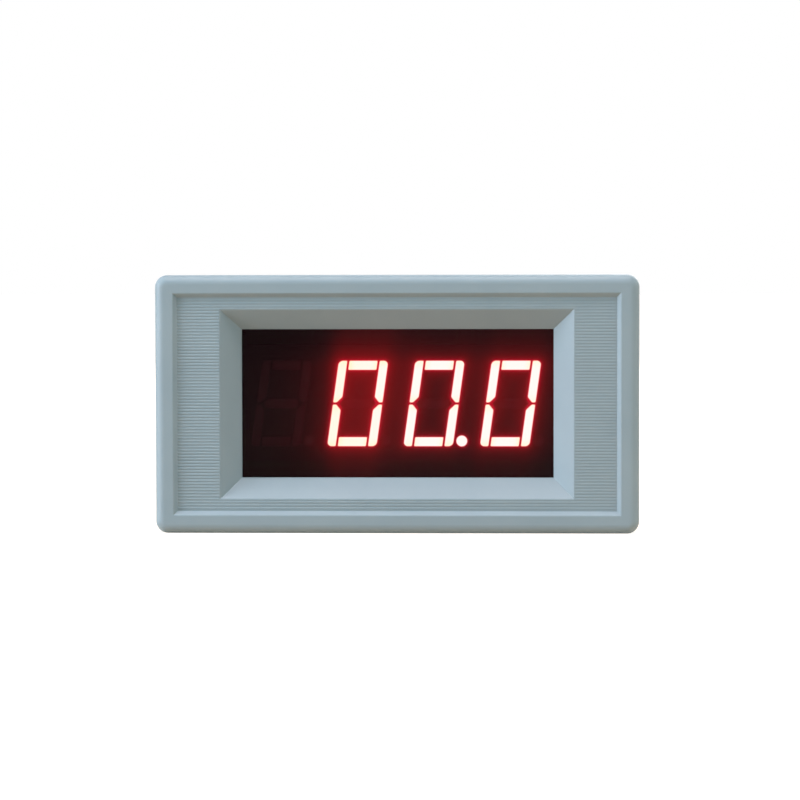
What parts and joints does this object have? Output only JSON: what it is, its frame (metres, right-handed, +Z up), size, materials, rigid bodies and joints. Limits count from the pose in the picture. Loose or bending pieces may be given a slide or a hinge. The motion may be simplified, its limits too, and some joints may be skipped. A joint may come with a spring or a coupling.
{
  "type": "digital panel meter",
  "caption": "Rectangular digital panel meter with a red seven-segment display behind a smoked window, for a cabinet cut-out, with a barrier terminal strip at the back.",
  "frame": {"origin": "on the meter's axis, in the plane of the bezel's back, where it seats on a cabinet's panel", "axes": "+X along the width, to the right as seen from the front; +Y from the front to the terminals; +Z up"},
  "size_m": [0.079, 0.041, 0.0422],
  "materials": {
    "housing": "fine satin grain, cool grey moulding",
    "cover": "fine satin grain, cool grey moulding",
    "lens": "polished, dark red smoked acrylic",
    "digit_shell": "matt dark printed face",
    "light_pipe": "diffused resin",
    "tinned_lead": "tinned",
    "gilt_pin": "gold flash over brass",
    "black_moulding": "matt moulded body",
    "circuit_board": "solder mask over glass-fibre board",
    "film_capacitor": "gloss potted box",
    "can_sleeve": "shrunk sleeve",
    "resistor": "lacquer",
    "disc_capacitor": "dipped resin",
    "trimmer_body": "moulded",
    "trimmer_rotor": "moulded",
    "strip_moulding": "black thermoset moulding",
    "nickel_plate": "nickel plated",
    "zinc_screw": "bright zinc plated"
  },
  "bodies": {
    "case": {"front_housing": "housing", "window_lens": "lens", "digit_shell_1": "digit_shell", "digit_light_pipes_1": "light_pipe", "digit_pins_1": "tinned_lead", "digit_shell_2": "digit_shell", "digit_light_pipes_2": "light_pipe", "digit_pins_2": "tinned_lead", "digit_shell_3": "digit_shell", "digit_light_pipes_3": "light_pipe", "digit_pins_3": "tinned_lead", "digit_shell_4": "digit_shell", "digit_light_pipes_4": "light_pipe", "digit_pins_4": "tinned_lead", "left_header": "black_moulding", "left_header_pins": "gilt_pin", "right_header": "black_moulding", "right_header_pins": "gilt_pin", "display_board": "circuit_board", "main_board": "circuit_board", "converter_chip": "black_moulding", "converter_chip_leads": "tinned_lead", "film_capacitor_1": "film_capacitor", "film_capacitor_2": "film_capacitor", "film_capacitor_3": "film_capacitor", "electrolytic_capacitor_1": "can_sleeve", "electrolytic_capacitor_2": "can_sleeve", "resistor_1": "resistor", "resistor_2": "resistor", "resistor_3": "resistor", "resistor_4": "resistor", "resistor_5": "resistor", "resistor_6": "resistor", "voltage_regulator": "black_moulding", "disc_capacitor": "disc_capacitor", "trimmer_body": "trimmer_body", "terminal_contact_1": "nickel_plate", "terminal_contact_2": "nickel_plate", "terminal_contact_3": "nickel_plate", "terminal_contact_4": "nickel_plate", "terminal_contact_5": "nickel_plate", "terminal_strip": "strip_moulding", "rear_cover": "cover", "cover_screws": "zinc_screw"},
    "clamp_1": {"terminal_washer_1": "nickel_plate"},
    "clamp_2": {"terminal_washer_2": "nickel_plate"},
    "clamp_3": {"terminal_washer_3": "nickel_plate"},
    "clamp_4": {"terminal_washer_4": "nickel_plate"},
    "clamp_5": {"terminal_washer_5": "nickel_plate"},
    "screw_1": {"terminal_screw_1": "nickel_plate"},
    "screw_2": {"terminal_screw_2": "nickel_plate"},
    "screw_3": {"terminal_screw_3": "nickel_plate"},
    "screw_4": {"terminal_screw_4": "nickel_plate"},
    "screw_5": {"terminal_screw_5": "nickel_plate"},
    "sensitivity_rotor": {"trimmer_rotor": "trimmer_rotor"}
  },
  "joints": [
    {"name": "screw_1_turn", "type": "hinge", "parent": "clamp_1", "child": "screw_1", "pos_m": [-0.0165, 0.028, -0.0111], "axis": [0, 1, 0], "range_deg": [0, 2160]},
    {"name": "clamp_1_lift", "type": "slide", "parent": "case", "child": "clamp_1", "axis": [0, 1, 0], "range_m": [0, 0.003]},
    {"name": "screw_2_turn", "type": "hinge", "parent": "clamp_2", "child": "screw_2", "pos_m": [-0.00825, 0.028, -0.0111], "axis": [0, 1, 0], "range_deg": [0, 2160]},
    {"name": "clamp_2_lift", "type": "slide", "parent": "case", "child": "clamp_2", "axis": [0, 1, 0], "range_m": [0, 0.003]},
    {"name": "screw_3_turn", "type": "hinge", "parent": "clamp_3", "child": "screw_3", "pos_m": [0, 0.028, -0.0111], "axis": [0, 1, 0], "range_deg": [0, 2160]},
    {"name": "clamp_3_lift", "type": "slide", "parent": "case", "child": "clamp_3", "axis": [0, 1, 0], "range_m": [0, 0.003]},
    {"name": "screw_4_turn", "type": "hinge", "parent": "clamp_4", "child": "screw_4", "pos_m": [0.00825, 0.028, -0.0111], "axis": [0, 1, 0], "range_deg": [0, 2160]},
    {"name": "clamp_4_lift", "type": "slide", "parent": "case", "child": "clamp_4", "axis": [0, 1, 0], "range_m": [0, 0.003]},
    {"name": "screw_5_turn", "type": "hinge", "parent": "clamp_5", "child": "screw_5", "pos_m": [0.0165, 0.028, -0.0111], "axis": [0, 1, 0], "range_deg": [0, 2160]},
    {"name": "clamp_5_lift", "type": "slide", "parent": "case", "child": "clamp_5", "axis": [0, 1, 0], "range_m": [0, 0.003]},
    {"name": "sensitivity_turn", "type": "hinge", "parent": "case", "child": "sensitivity_rotor", "pos_m": [0.02508, 0, 0.00598], "axis": [0, 1, 0], "range_deg": [-130, 130]}
  ],
  "couplings": [
    {"joint": "screw_1_turn", "follows": "clamp_1_lift", "rad_per_m": 12566},
    {"joint": "screw_2_turn", "follows": "clamp_2_lift", "rad_per_m": 12566},
    {"joint": "screw_3_turn", "follows": "clamp_3_lift", "rad_per_m": 12566},
    {"joint": "screw_4_turn", "follows": "clamp_4_lift", "rad_per_m": 12566},
    {"joint": "screw_5_turn", "follows": "clamp_5_lift", "rad_per_m": 12566}
  ]
}
